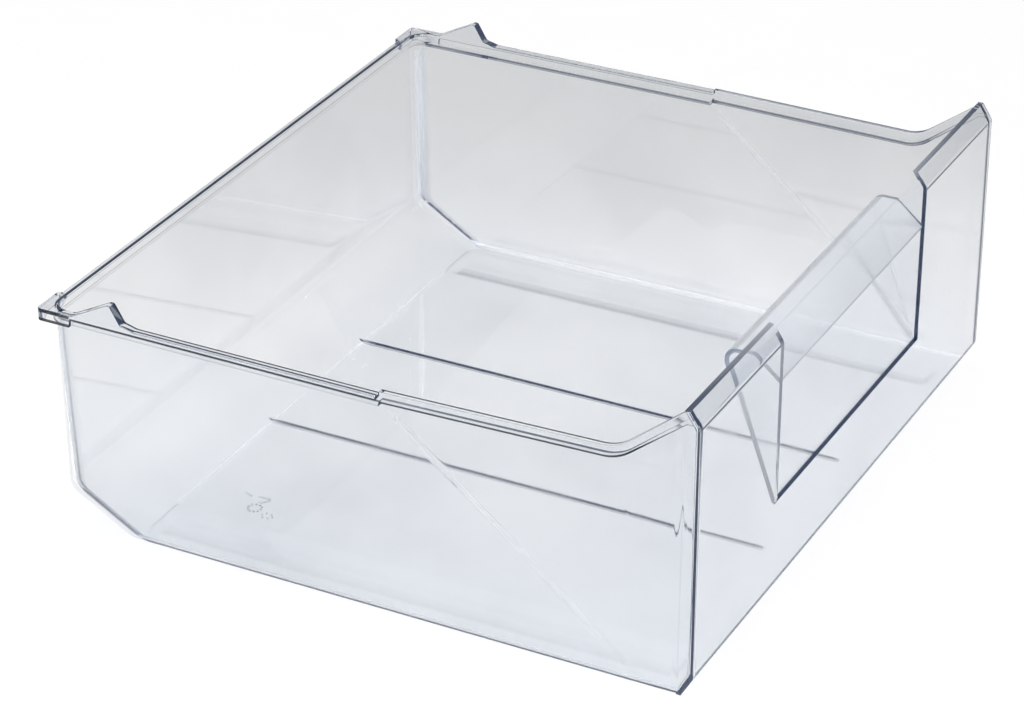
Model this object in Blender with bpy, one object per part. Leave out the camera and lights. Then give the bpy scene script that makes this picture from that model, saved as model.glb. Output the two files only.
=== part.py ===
# Clear moulded freezer drawer: one thin-walled moulding.
# Metres, +Z up. The front looks along -Y. The origin is under the middle of the overall box.

import math

import bmesh
import bpy
import numpy as np
from mathutils import Vector

MM = 0.001

# Overall sizes
DEPTH = 384.0 * MM
PANEL_WIDTH = 405.0 * MM
HEIGHT = 169.3 * MM
WALL = 2.5 * MM

# Front panel: an upright plate whose top and bottom strips lean back
PANEL_THICK = 2.6 * MM
PANEL_FOOT = 2.7 * MM
TOP_STRIP_RISE = 8.9 * MM
TOP_STRIP_LEAN = 5.8 * MM
LOW_STRIP_RISE = 11.9 * MM
LOW_STRIP_LEAN = 6.8 * MM
PANEL_TAPER = 0.3 * MM

# Tub walls
SIDE_INSET = 0.5 * MM
SIDE_DRAFT = 0.026
REAR_TAPER = 1.5 * MM
CHEEK_INSET = 1.7 * MM
CREASE_FOOT = 22.0 * MM
REAR_DRAFT = 0.03
SLOPE_HEIGHT = 25.0 * MM
SLOPE_RUN = 41.8 * MM
CORNER_RADIUS = 10.0 * MM
FLOOR_EDGE_RADIUS = 5.0 * MM
FOLD_RADIUS = 10.0 * MM

# Rim: the walls step out into a band, which carries a lip
RIM_HEIGHT = 138.2 * MM
BAND_DROP = 7.9 * MM
BAND_STEP = 3.4 * MM
BAND_STEP_AT_PANEL = 0.7 * MM
BAND_EDGE = 2.4 * MM
BAND_EDGE_SHARE = 0.7
SHELF_DROP = 5.4 * MM
SHELF_STEP = 2.6 * MM
SHELF_BEVEL = 0.2
LIP_THICK = 2.5 * MM
LIP_WIDTH = 2.4 * MM
LIP_EDGE = 0.5 * MM
RIM_STEP = 2.0 * MM
RIM_STEP_PLACE = 176.0 * MM
RIM_STEP_LENGTH = 1.5 * MM
RIM_RISE = 0.6 * MM

# Sweep of the rim up to the panel's top corners
SWEEP_SLOPE = 0.78
SWEEP_RADIUS = 24.0 * MM
SWEEP_TOP_DROP = 0.5 * MM
SWEEP_END = 8.0 * MM
BAND_FADE_END = 46.0 * MM

# Rear rim: a narrow lip on an almost plain wall, and at each corner a wider tab with a skirt
REAR_LIP_REACH = 8.2 * MM
REAR_LIP_INSET = 2.7 * MM
REAR_STEP_SHARE = 0.12
TAB_PAST_CORNER = 1.5 * MM
SKIRT_DROP = 7.0 * MM
SKIRT_THICK = 2.0 * MM
SKIRT_EDGE = 0.2 * MM
SKIRT_RETURN = 20.5 * MM
LIP_CORNER_RADIUS = 3.0 * MM
SKIRT_CORNER_RADIUS = 4.0 * MM

# Stop fins that rise from the rim near the rear
FIN_HEIGHT = 12.0 * MM
FIN_PEAK_SETBACK = 45.0 * MM
FIN_CREST = 2.0 * MM
FIN_FACE_RUN = 6.0 * MM
FIN_FOOT_RISE = 2.0 * MM
FIN_FOOT_RUN = 8.0 * MM
FIN_RAMP_RUN = 23.0 * MM

# Handle: a window with a pocket behind it and a grip sheet over it
WINDOW_WIDTH = 199.0 * MM
WINDOW_SILL = 65.8 * MM
SHEET_THICK = 2.5 * MM
POCKET_DEPTH = 33.5 * MM
POCKET_TOP = 149.3 * MM
POCKET_CORNER_RADIUS = 6.0 * MM
GRIP_CREASE_DEPTH = 16.5 * MM
GRIP_EDGE_DEPTH = 2.2 * MM
GRIP_EDGE_HEIGHT = 136.9 * MM
WEB_THICK = 2.4 * MM
WEB_SHOULDER_DROP = 4.0 * MM
SHEET_ROOT = 0.3 * MM
SILL_DEPTH = 2.4 * MM
SHEET_FOOT = 1.0 * MM

# Floor: two runners pressed down, two stiffening ribs standing up
RUNNER_DROP = 1.0 * MM
RUNNER_INNER = 163.8 * MM
RUNNER_OUTER = 181.5 * MM
RUNNER_MARGIN = 1.0 * MM
RUNNER_FRONT_GAP = 16.0 * MM
RUNNER_REAR_GAP = 3.0 * MM
RUNNER_BEVEL = 1.5 * MM
RIB_PLACE = 53.0 * MM
RIB_THICK = 1.8 * MM
RIB_HEIGHT = 1.6 * MM
RIB_FRONT_GAP = 27.3 * MM

# Facets on rounded edges
ARC_STEPS = 4
CORNER_STEPS = 6

# How deep a joined shape reaches into its neighbour
SINK = 0.5 * MM
# How far a cutter runs past what it cuts
OVERRUN = 20.0 * MM

# Worked-out sizes
FRONT = -DEPTH / 2
FLOOR_UNDER = RUNNER_DROP
FLOOR_TOP = FLOOR_UNDER + WALL
BAND_LEVEL = RIM_HEIGHT - BAND_DROP
HALF_PANEL = PANEL_WIDTH / 2
HALF_FLOOR = HALF_PANEL - SIDE_INSET
REAR_WALL = DEPTH / 2 - REAR_LIP_REACH
TAB_END = HALF_FLOOR - REAR_TAPER - CORNER_RADIUS - TAB_PAST_CORNER
SLOPE_FOOT = REAR_WALL - SLOPE_RUN
SLOPE = SLOPE_HEIGHT / SLOPE_RUN
CREASE_RIM = FRONT + RIM_STEP_PLACE
HALF_WINDOW = WINDOW_WIDTH / 2


def clear_scene():
    for thing in list(bpy.data.objects):
        bpy.data.objects.remove(thing, do_unlink=True)


def clear_plastic():
    material = bpy.data.materials.new("clear_styrene")
    material.use_nodes = True
    shader = material.node_tree.nodes["Principled BSDF"]
    shader.inputs["Base Color"].default_value = (0.86, 0.90, 0.95, 1.0)
    shader.inputs["Roughness"].default_value = 0.06
    shader.inputs["Metallic"].default_value = 0.0
    shader.inputs["IOR"].default_value = 1.59
    shader.inputs["Transmission Weight"].default_value = 0.9
    return material


def make_object(name, bm, helper=False):
    # Coincident points merge, so rows that meet close into plain triangles
    bmesh.ops.remove_doubles(bm, verts=bm.verts, dist=1e-6)
    bmesh.ops.recalc_face_normals(bm, faces=bm.faces)
    mesh = bpy.data.meshes.new(name)
    bm.to_mesh(mesh)
    bm.free()
    thing = bpy.data.objects.new(name, mesh)
    bpy.context.collection.objects.link(thing)
    if helper:
        thing.hide_render = True
        thing.display_type = 'WIRE'
    return thing


def combine(target, tool, operation):
    modifier = target.modifiers.new(tool.name, 'BOOLEAN')
    modifier.solver = 'EXACT'
    modifier.operation = operation
    modifier.object = tool


def rounded_path(points, radii, steps):
    # A polyline whose inner corners are swapped for arcs of the given radii
    corners = [Vector(p) for p in points]
    path = [corners[0]]
    for before, corner, after, radius in zip(corners, corners[1:], corners[2:], radii):
        come = (corner - before).normalized()
        leave = (after - corner).normalized()
        turn = math.acos(max(-1.0, min(1.0, come.dot(leave))))
        reach = radius * math.tan(turn / 2)
        if reach <= 0.0:
            path.append(corner)
            continue
        toward = (leave - come).normalized()
        centre = corner + toward * (radius / math.cos(turn / 2))
        side = corner - come * reach - centre
        hand = 1.0 if come.x * leave.y - come.y * leave.x > 0 else -1.0
        for step in range(steps + 1):
            angle = hand * turn * step / steps
            cos, sin = math.cos(angle), math.sin(angle)
            path.append(centre + Vector((side.x * cos - side.y * sin, side.x * sin + side.y * cos)))
    path.append(corners[-1])
    return path


def offset_path(points, distance):
    # The same polyline moved to its left by distance, with mitred corners
    corners = [Vector(p) for p in points]
    lefts = []
    for start, end in zip(corners, corners[1:]):
        along = (end - start).normalized()
        lefts.append(Vector((-along.y, along.x)))
    moved = [corners[0] + lefts[0] * distance]
    for corner, left_in, left_out in zip(corners[1:], lefts, lefts[1:]):
        mitre = (left_in + left_out).normalized()
        moved.append(corner + mitre * (distance / mitre.dot(left_in)))
    moved.append(corners[-1] + lefts[-1] * distance)
    return moved


def add_prism(bm, outline, low, high):
    # A (y, z) outline, swept along X from low to high
    near = [bm.verts.new((low, p[0], p[1])) for p in outline]
    far = [bm.verts.new((high, p[0], p[1])) for p in outline]
    count = len(outline)
    for k in range(count):
        after = (k + 1) % count
        bm.faces.new((near[k], near[after], far[after], far[k]))
    bm.faces.new(near[::-1])
    bm.faces.new(far)


def add_frustum(bm, x_range, y_range, z_range, flare):
    # A box whose top is wider than its foot by flare on each side
    rings = []
    for z, grow in ((z_range[0], 0.0), (z_range[1], flare)):
        x0, x1 = x_range[0] - grow, x_range[1] + grow
        y0, y1 = y_range[0] - grow, y_range[1] + grow
        rings.append([bm.verts.new(p) for p in ((x0, y0, z), (x1, y0, z), (x1, y1, z), (x0, y1, z))])
    low, high = rings
    for k in range(4):
        after = (k + 1) % 4
        bm.faces.new((low[k], low[after], high[after], high[k]))
    bm.faces.new(low[::-1])
    bm.faces.new(high)


# Tub walls

def main_side(z):
    return HALF_FLOOR + SIDE_DRAFT * z


def crease_y(z):
    # The crease climbs the side wall from near the panel's foot to the step in the rim
    return FRONT + CREASE_FOOT + (RIM_STEP_PLACE - CREASE_FOOT) * z / BAND_LEVEL


def cheek_slant(z):
    # Plan slant of the flat cheek between the crease and the panel
    rim_drop = main_side(BAND_LEVEL) - (HALF_PANEL - CHEEK_INSET)
    return rim_drop / RIM_STEP_PLACE * (0.5 + 0.5 * z / BAND_LEVEL)


def side_x(y, z, inset):
    x = main_side(z)
    crease = crease_y(z)
    if y < crease:
        x -= (crease - y) * cheek_slant(z)
    return x - inset


def taper(place):
    # The side walls close in a little towards the rear
    return REAR_TAPER * max(0.0, (place - CREASE_RIM) / (REAR_WALL - CREASE_RIM))


def rear_fold_path(inset):
    # Rear section in (y, z): floor, slope and rear wall, each moved in by inset
    top = HEIGHT
    corners = [(SLOPE_FOOT - DEPTH / 4, FLOOR_UNDER), (SLOPE_FOOT, FLOOR_UNDER),
               (REAR_WALL, FLOOR_UNDER + SLOPE_HEIGHT), (REAR_WALL + REAR_DRAFT * top, top)]
    moved = offset_path(corners, inset)
    return rounded_path(moved, (FOLD_RADIUS - inset, FOLD_RADIUS - inset), ARC_STEPS)


def rear_y(z, inset):
    path = rear_fold_path(inset)[1:]
    return float(np.interp(z, [p.y for p in path], [p.x for p in path]))


# Rim

def sweep_path():
    # Side view of the rim's front: down from the panel's top corner, then level
    level = RIM_HEIGHT + RIM_STEP + RIM_RISE
    top = HEIGHT - SWEEP_TOP_DROP
    foot = FRONT + SWEEP_END + (top - level) / SWEEP_SLOPE
    corners = [(FRONT - OVERRUN, top), (FRONT + SWEEP_END, top), (foot, level),
               (CREASE_RIM, RIM_HEIGHT + RIM_STEP)]
    return rounded_path(corners, (0.0, SWEEP_RADIUS), ARC_STEPS + 2)


def fin_path():
    peak = DEPTH / 2 - FIN_PEAK_SETBACK
    face = peak - FIN_CREST
    foot = face - FIN_FACE_RUN
    return [(foot - FIN_FOOT_RUN, 0.0), (foot, FIN_FOOT_RISE), (face, FIN_HEIGHT), (peak, FIN_HEIGHT),
            (peak + FIN_RAMP_RUN, 0.0)]


def rim_base_top(y):
    # Height of the rim's top without the fins
    if y > CREASE_RIM:
        return RIM_HEIGHT
    path = sweep_path()
    return float(np.interp(y, [p.x for p in path], [p.y for p in path]))


def fin_rise(y):
    path = fin_path()
    return float(np.interp(y, [p[0] for p in path], [p[1] for p in path]))


def band_step(y):
    share = (y - FRONT - SWEEP_END) / (BAND_FADE_END - SWEEP_END)
    share = max(0.0, min(1.0, share))
    smooth = share * share * (3 - 2 * share)
    return BAND_STEP_AT_PANEL + (BAND_STEP - BAND_STEP_AT_PANEL) * smooth


def side_stations():
    # Places along the rim's side, from the panel to the rear corner
    places = [p.x for p in sweep_path()]
    places += [CREASE_RIM + RIM_STEP_LENGTH]
    places += [p[0] for p in fin_path()]
    skirt = DEPTH / 2 - SKIRT_RETURN
    places += [skirt - LIP_EDGE, skirt]
    return sorted(set(round(p, 6) for p in places))


class Station:
    # A column of the wall mesh: on a side wall, round a rear corner, or along the rear
    def __init__(self, kind, place, last=False):
        self.kind = kind
        self.place = place
        self.last = last

    def is_skirted(self):
        if self.kind == 'side':
            return self.place > DEPTH / 2 - SKIRT_RETURN - LIP_EDGE / 2
        return self.kind == 'corner' or self.place > TAB_END - LIP_EDGE / 2

    def has_lip(self):
        return self.kind != 'side' or self.place > CREASE_RIM + RIM_STEP_LENGTH / 2


def half_stations():
    stations = [Station('side', y) for y in side_stations()]
    stations.append(Station('side', REAR_WALL - CORNER_RADIUS, last=True))
    for step in range(1, CORNER_STEPS + 1):
        stations.append(Station('corner', math.pi / 2 * step / CORNER_STEPS))
    return stations + [Station('rear', x) for x in (TAB_END, TAB_END - LIP_EDGE, 0.0)]


def place_on_ring(station, half_width, rear, radius, side_place):
    # A point of one ring; side_place gives (x, y) on the side wall
    if station.kind == 'side' and not station.last:
        return side_place(station.place)
    if station.kind == 'side':
        return half_width, rear - radius
    if station.kind == 'corner':
        return (half_width - radius + radius * math.cos(station.place),
                rear - radius + radius * math.sin(station.place))
    return station.place, rear


def wall_point(station, z, inset, corner):
    # A point of a wall ring at height z; columns ahead of the crease close up towards the floor
    rear = rear_y(z, inset)
    crease = crease_y(z)
    start = FRONT - OVERRUN
    end = rear - corner

    def side_place(place):
        if place <= CREASE_RIM:
            share = (place - start) / (CREASE_RIM - start)
            y = start + (crease - start) * share
        else:
            share = (place - CREASE_RIM) / (REAR_WALL - CORNER_RADIUS - CREASE_RIM)
            y = crease + (end - crease) * share
        return side_x(y, z, inset) - taper(place), y

    x, y = place_on_ring(station, main_side(z) - REAR_TAPER - inset, rear, corner, side_place)
    return Vector((x, y, z))


def rim_point(station, out, drop, corner, rear_out, rises=False):
    # A point of a rim ring: drop below the rim's top, out from the side's outer face or rear_out
    # from the rear's
    top = RIM_HEIGHT
    if station.kind == 'side':
        top = rim_base_top(station.place)
    z = top - drop
    if station.kind == 'side' and rises:
        z += fin_rise(station.place)
    base = min(top - BAND_DROP, HEIGHT)
    rear = rear_y(BAND_LEVEL, 0.0) + rear_out

    def side_place(place):
        return side_x(place, base, 0.0) - taper(place) + out, place

    x, y = place_on_ring(station, main_side(BAND_LEVEL) - REAR_TAPER + out, rear, corner, side_place)
    return Vector((x, y, z))


def outer_rings():
    # Rings of the outside, from the floor's underside up to the rim's top
    rings = []
    for step in range(ARC_STEPS + 1):
        angle = math.pi / 2 * step / ARC_STEPS
        rise = FLOOR_EDGE_RADIUS * (1 - math.cos(angle))
        inset = FLOOR_EDGE_RADIUS * (1 - math.sin(angle))
        rings.append(('floor edge', FLOOR_UNDER + rise, inset))
    for point in rear_fold_path(0.0):
        if FLOOR_UNDER + FLOOR_EDGE_RADIUS < point.y < HEIGHT - OVERRUN:
            rings.append(('wall', point.y, 0.0))
    return rings


def lip_shape(station, lip, step):
    # The lip's reach at the rear, its skirt's drop, and where the skirt's inner face stands
    reach = DEPTH / 2 - rear_y(BAND_LEVEL, 0.0)
    if station.is_skirted():
        return reach, SKIRT_DROP, max(lip - SKIRT_THICK, SKIRT_EDGE), reach - SKIRT_THICK
    return reach - REAR_LIP_INSET, LIP_THICK, 0.0, step * REAR_STEP_SHARE


def column(station):
    # All the points of one column, outside going up and inside coming down
    step = band_step(station.place) if station.kind == 'side' else BAND_STEP
    lip = LIP_WIDTH if station.has_lip() else 0.0
    shelf = SHELF_STEP * step / BAND_STEP
    inner, rear_inner = shelf - WALL, shelf * REAR_STEP_SHARE - WALL
    points = []
    for kind, z, inset in outer_rings():
        if kind == 'floor edge':
            flat = wall_point(station, z, 0.0, CORNER_RADIUS)
            points.append(pull_in(station, flat, inset))
        else:
            points.append(wall_point(station, z, inset, CORNER_RADIUS))
    wide = CORNER_RADIUS + step
    edge = min(BAND_EDGE, step * BAND_EDGE_SHARE)
    round_off = edge * (1 - math.cos(math.pi / 4))
    for out, drop, corner in ((0.0, BAND_DROP, CORNER_RADIUS), (step - edge, BAND_DROP, CORNER_RADIUS),
                              (step - round_off, BAND_DROP - round_off, wide),
                              (step, BAND_DROP - edge, wide), (step, LIP_THICK, wide)):
        points.append(rim_point(station, out, drop, corner, out * REAR_STEP_SHARE))
    rear_lip, skirt, skirt_in, skirt_back = lip_shape(station, lip, step)
    points.append(rim_point(station, step + skirt_in, LIP_THICK, SKIRT_CORNER_RADIUS, skirt_back))
    points.append(rim_point(station, step + skirt_in, skirt, SKIRT_CORNER_RADIUS, skirt_back))
    points.append(rim_point(station, step + lip, skirt, LIP_CORNER_RADIUS, rear_lip))
    points.append(rim_point(station, step + lip, LIP_EDGE, LIP_CORNER_RADIUS, rear_lip, rises=True))
    points.append(rim_point(station, step + lip - LIP_EDGE, 0.0, LIP_CORNER_RADIUS, rear_lip - LIP_EDGE,
                            rises=True))
    round_inner = CORNER_RADIUS + inner
    points.append(rim_point(station, inner + LIP_EDGE, 0.0, round_inner, rear_inner + LIP_EDGE, rises=True))
    points.append(rim_point(station, inner, LIP_EDGE, round_inner, rear_inner, rises=True))
    inside = CORNER_RADIUS - WALL
    bevel = SHELF_BEVEL * step
    points.append(rim_point(station, inner, SHELF_DROP, round_inner, rear_inner))
    points.append(rim_point(station, bevel - WALL, SHELF_DROP, inside, bevel * REAR_STEP_SHARE - WALL))
    points.append(rim_point(station, -WALL, SHELF_DROP + bevel, inside, -WALL))
    folds = [p.y for p in rear_fold_path(WALL)]
    edge_in = FLOOR_EDGE_RADIUS - WALL
    for z in sorted((z for z in folds if FLOOR_TOP + edge_in < z < HEIGHT - OVERRUN), reverse=True):
        points.append(wall_point(station, z, WALL, inside))
    for number in range(ARC_STEPS, -1, -1):
        angle = math.pi / 2 * number / ARC_STEPS
        z = FLOOR_TOP + edge_in * (1 - math.cos(angle))
        flat = wall_point(station, z, WALL, inside)
        points.append(pull_in(station, flat, edge_in * (1 - math.sin(angle))))
    return points


def pull_in(station, point, inset):
    # Draws a ring in from the side walls alone; the slope behind already leads into the floor
    if station.kind == 'rear':
        return point
    if station.kind == 'side':
        return point - Vector((inset, 0.0, 0.0))
    return point - Vector((inset * math.cos(station.place), 0.0, 0.0))


def make_tub():
    half = [(station, column(station)) for station in half_stations()]
    right = [points for station, points in half]
    left = [[Vector((-p.x, p.y, p.z)) for p in points] for points in right[:-1]]
    columns = right + left[::-1]
    bm = bmesh.new()
    grid = [[bm.verts.new(p) for p in points] for points in columns]
    for here, there in zip(grid, grid[1:]):
        for k in range(len(here) - 1):
            bm.faces.new((here[k], here[k + 1], there[k + 1], there[k]))
    bm.faces.new([points[0] for points in grid])
    bm.faces.new([points[-1] for points in grid][::-1])
    bm.faces.new(grid[0][::-1] + grid[-1])
    return make_object("drawer", bm)


# Front panel and handle

def panel_face():
    # Side view of the panel's outer face, bottom to top
    return [(FRONT + LOW_STRIP_LEAN, PANEL_FOOT), (FRONT, PANEL_FOOT + LOW_STRIP_RISE),
            (FRONT, HEIGHT - TOP_STRIP_RISE), (FRONT + TOP_STRIP_LEAN, HEIGHT)]


def cut_level(end, neighbour, level):
    # Runs the line through two (y, z) points on to the given height
    return end + (neighbour - end) * ((level - end.y) / (neighbour.y - end.y))


def panel_half_width(z):
    fold = HEIGHT - TOP_STRIP_RISE
    return HALF_PANEL - PANEL_TAPER * max(0.0, fold - z) / (fold - PANEL_FOOT)


def make_panel():
    outer = [Vector(p) for p in panel_face()]
    inner = offset_path(outer, -PANEL_THICK)
    inner[0] = cut_level(inner[0], inner[1], PANEL_FOOT)
    inner[-1] = cut_level(inner[-1], inner[-2], HEIGHT)
    outline = outer + inner[::-1]
    bm = bmesh.new()
    sides = []
    for hand in (-1.0, 1.0):
        sides.append([bm.verts.new((hand * panel_half_width(p.y), p.x, p.y)) for p in outline])
    near, far = sides
    count = len(outline)
    for k in range(count):
        after = (k + 1) % count
        bm.faces.new((near[k], near[after], far[after], far[k]))
    bm.faces.new(near[::-1])
    bm.faces.new(far)
    return make_object("front_panel", bm, helper=True)


def make_window():
    # Opens the panel between the pocket's end plates, from the sill to above the panel's top
    front = FRONT - OVERRUN
    back = FRONT + POCKET_DEPTH + OVERRUN
    top = HEIGHT + OVERRUN
    bm = bmesh.new()
    outline = [(front, WINDOW_SILL), (back, WINDOW_SILL), (back, top), (front, top)]
    add_prism(bm, outline, -HALF_WINDOW, HALF_WINDOW)
    return make_object("window", bm, helper=True)


def make_front_trim():
    # Everything ahead of the middle of the panel's thickness
    middle = offset_path(panel_face(), -PANEL_THICK / 2)
    low = middle[0] + (middle[0] - middle[1]) * 2
    high = middle[-1] + (middle[-1] - middle[-2]) * 2
    ahead = FRONT - 2 * OVERRUN
    outline = [(ahead, low.y), low] + middle + [high, (ahead, high.y)]
    bm = bmesh.new()
    add_prism(bm, outline, -PANEL_WIDTH, PANEL_WIDTH)
    return make_object("front_trim", bm, helper=True)


def pocket_centre():
    # Middle of the pocket sheet in (y, z): up the back, over the roof, down to the grip's edge
    half = SHEET_THICK / 2
    rise = POCKET_TOP - WINDOW_SILL
    lean = half * math.hypot(rise, POCKET_DEPTH - SILL_DEPTH) / rise
    corners = [(FRONT + SILL_DEPTH + lean, WINDOW_SILL), (FRONT + POCKET_DEPTH, POCKET_TOP),
               (FRONT + GRIP_CREASE_DEPTH, POCKET_TOP), (FRONT + GRIP_EDGE_DEPTH, GRIP_EDGE_HEIGHT)]
    return rounded_path(corners, (POCKET_CORNER_RADIUS, POCKET_CORNER_RADIUS / 2), ARC_STEPS)


def make_pocket():
    centre = pocket_centre()
    behind = offset_path(centre, -SHEET_THICK / 2)
    hollow = offset_path(centre, SHEET_THICK / 2)
    hollow[0] = cut_level(hollow[0], hollow[1], WINDOW_SILL - SHEET_ROOT)
    behind[0] = behind[0] - (behind[1] - behind[0]).normalized() * SHEET_FOOT
    outline = [Vector((hollow[0].x, behind[0].y))] + behind + hollow[::-1]
    bm = bmesh.new()
    reach = HALF_WINDOW + WEB_THICK / 2
    add_prism(bm, outline, -reach, reach)
    return make_object("pocket_sheet", bm, helper=True)


def make_webs():
    # End plates of the pocket, which also close the notch over the grip
    centre = pocket_centre()
    behind = offset_path(centre, -(SHEET_THICK / 2 - SINK))
    roof = [p for p in behind if p.x > FRONT + GRIP_CREASE_DEPTH]
    middle = FRONT + PANEL_THICK / 2
    top = HEIGHT - WEB_SHOULDER_DROP
    strip = TOP_STRIP_LEAN * (TOP_STRIP_RISE - WEB_SHOULDER_DROP) / TOP_STRIP_RISE
    foot = [(middle, WINDOW_SILL - WEB_THICK), (behind[0].x - SHEET_ROOT, WINDOW_SILL - SHEET_ROOT)]
    shoulder = [(middle + strip, top), (middle, HEIGHT - TOP_STRIP_RISE)]
    outline = foot + [tuple(p) for p in roof] + shoulder
    bm = bmesh.new()
    for hand in (-1.0, 1.0):
        ends = sorted((hand * (HALF_WINDOW - WEB_THICK), hand * (HALF_WINDOW + WEB_THICK)))
        add_prism(bm, outline, ends[0], ends[1])
    return make_object("pocket_webs", bm, helper=True)


# Floor

def runner_span():
    return FRONT + RUNNER_FRONT_GAP, SLOPE_FOOT - RUNNER_REAR_GAP


def make_runners():
    # The pressed strips, seen from below
    bm = bmesh.new()
    start, end = runner_span()
    for hand in (-1.0, 1.0):
        x = sorted((hand * (RUNNER_INNER - RUNNER_MARGIN), hand * (RUNNER_OUTER + RUNNER_MARGIN)))
        add_frustum(bm, x, (start - RUNNER_MARGIN, end + RUNNER_MARGIN),
                    (0.0, FLOOR_UNDER + WALL / 2), RUNNER_BEVEL)
    return make_object("runners", bm, helper=True)


def make_channels():
    # The same strips, seen from above
    bm = bmesh.new()
    start, end = runner_span()
    for hand in (-1.0, 1.0):
        x = sorted((hand * RUNNER_INNER, hand * RUNNER_OUTER))
        add_frustum(bm, x, (start, end), (WALL, FLOOR_TOP + RUNNER_DROP), RUNNER_BEVEL)
    return make_object("channels", bm, helper=True)


def make_ribs():
    foot = SLOPE_FOOT - WALL * math.tan(math.atan(SLOPE) / 2)
    low = FLOOR_TOP - SINK
    high = FLOOR_TOP + RIB_HEIGHT
    start = FRONT + RIB_FRONT_GAP
    outline = [(start, low), (foot, low), (foot + (RIB_HEIGHT + SINK) / SLOPE, high),
               (start + RIB_HEIGHT / 2, high)]
    bm = bmesh.new()
    for hand in (-1.0, 1.0):
        add_prism(bm, outline, hand * RIB_PLACE - RIB_THICK / 2, hand * RIB_PLACE + RIB_THICK / 2)
    return make_object("floor_ribs", bm, helper=True)


def main():
    clear_scene()
    drawer = make_tub()
    combine(drawer, make_front_trim(), 'DIFFERENCE')
    combine(drawer, make_panel(), 'UNION')
    combine(drawer, make_webs(), 'UNION')
    combine(drawer, make_window(), 'DIFFERENCE')
    combine(drawer, make_pocket(), 'UNION')
    combine(drawer, make_runners(), 'UNION')
    combine(drawer, make_channels(), 'DIFFERENCE')
    combine(drawer, make_ribs(), 'UNION')
    drawer.data.materials.append(clear_plastic())


main()
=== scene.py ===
# Clear freezer drawer on a pale studio floor
import math
import bpy
import bmesh
import numpy as np
from mathutils import Matrix, Vector


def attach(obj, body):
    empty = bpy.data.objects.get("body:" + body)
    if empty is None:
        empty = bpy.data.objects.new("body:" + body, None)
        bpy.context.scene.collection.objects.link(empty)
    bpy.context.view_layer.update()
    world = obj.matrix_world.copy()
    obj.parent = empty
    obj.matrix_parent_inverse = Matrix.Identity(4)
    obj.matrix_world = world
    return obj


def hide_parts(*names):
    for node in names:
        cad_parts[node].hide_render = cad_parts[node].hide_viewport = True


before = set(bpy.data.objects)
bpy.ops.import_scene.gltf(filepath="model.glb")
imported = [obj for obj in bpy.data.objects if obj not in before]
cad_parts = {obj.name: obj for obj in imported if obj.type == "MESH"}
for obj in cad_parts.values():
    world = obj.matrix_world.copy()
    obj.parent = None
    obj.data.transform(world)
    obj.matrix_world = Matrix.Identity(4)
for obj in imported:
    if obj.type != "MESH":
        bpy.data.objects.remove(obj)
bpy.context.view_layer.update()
mm = 0.001


class Signal:
    # one output socket; + - * on it add Math nodes
    def __init__(self, kit, socket):
        self.kit = kit
        self.socket = socket

    def math(self, operation, first, second):
        return self.kit.add("ShaderNodeMath", {"operation": operation}, {0: first, 1: second})

    def __add__(self, other):
        return self.math("ADD", self, other)

    def __radd__(self, other):
        return self.math("ADD", other, self)

    def __sub__(self, other):
        return self.math("SUBTRACT", self, other)

    def __rsub__(self, other):
        return self.math("SUBTRACT", other, self)

    def __mul__(self, other):
        return self.math("MULTIPLY", self, other)

    def __rmul__(self, other):
        return self.math("MULTIPLY", other, self)


class NodeKit:
    # fills the node tree of a material or a world
    gap = (220, -260)
    inRow = 8

    def __init__(self, owner):
        owner.use_nodes = True
        self.tree = owner.node_tree
        self.tree.nodes.clear()

    def add(self, kind, settings=None, sockets=None, output=0):
        made = len(self.tree.nodes)
        node = self.tree.nodes.new(kind)
        node.location = (self.gap[0] * (made % self.inRow), self.gap[1] * (made // self.inRow))
        for name, value in (settings or {}).items():
            setattr(node, name, value)
        for name, value in (sockets or {}).items():
            if isinstance(value, Signal):
                self.tree.links.new(value.socket, node.inputs[name])
            else:
                node.inputs[name].default_value = value
        return Signal(self, node.outputs[output]) if node.outputs else node

    def place(self):
        return self.add("ShaderNodeNewGeometry")

    def noise(self, where, scale, detail):
        return self.add("ShaderNodeTexNoise", {}, {"Vector": where, "Scale": scale, "Detail": detail})

    def ramp(self, signal, low, high, ease="SMOOTHSTEP"):
        return self.add("ShaderNodeMapRange", {"interpolation_type": ease},
                        {"Value": signal, "From Min": low, "From Max": high})

    def mixColour(self, share, first, second):
        return self.add("ShaderNodeMix", {"data_type": "RGBA"}, {0: share, 6: first, 7: second}, 2)

    def mixShader(self, share, first, second):
        return self.add("ShaderNodeMixShader", {}, {0: share, 1: first, 2: second})

    def lightPath(self, output):
        return self.add("ShaderNodeLightPath", {}, {}, output)


# Mesh helpers
weld = 0.002
straight = 1e-4


def arcPath(points, radii, steps):
    # a polyline whose inner corners become arcs
    corners = [Vector(p) for p in points]
    path = [corners[0]]
    for before, corner, after, radius in zip(corners, corners[1:], corners[2:], radii):
        come, leave = (corner - before).normalized(), (after - corner).normalized()
        turn = math.acos(max(-1.0, min(1.0, come.dot(leave))))
        if radius <= 0.0 or turn < straight:
            path.append(corner)
            continue
        centre = corner + (leave - come).normalized() * (radius / math.cos(turn / 2))
        arm = corner - come * (radius * math.tan(turn / 2)) - centre
        hand = 1.0 if come.x * leave.y - come.y * leave.x > 0 else -1.0
        for step in range(steps + 1):
            swing = Matrix.Rotation(hand * turn * step / steps, 2)
            path.append(centre + swing @ arm)
    path.append(corners[-1])
    return path


def movedPath(points, distance):
    # the same polyline, distance to its left, mitred
    corners = [Vector(p) for p in points]
    lefts = [Vector((-(b - a).y, (b - a).x)).normalized() for a, b in zip(corners, corners[1:])]
    moved = [corners[0] + lefts[0] * distance]
    for corner, first, second in zip(corners[1:], lefts, lefts[1:]):
        mitre = (first + second).normalized()
        moved.append(corner + mitre * (distance / mitre.dot(first)))
    return moved + [corners[-1] + lefts[-1] * distance]


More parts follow.
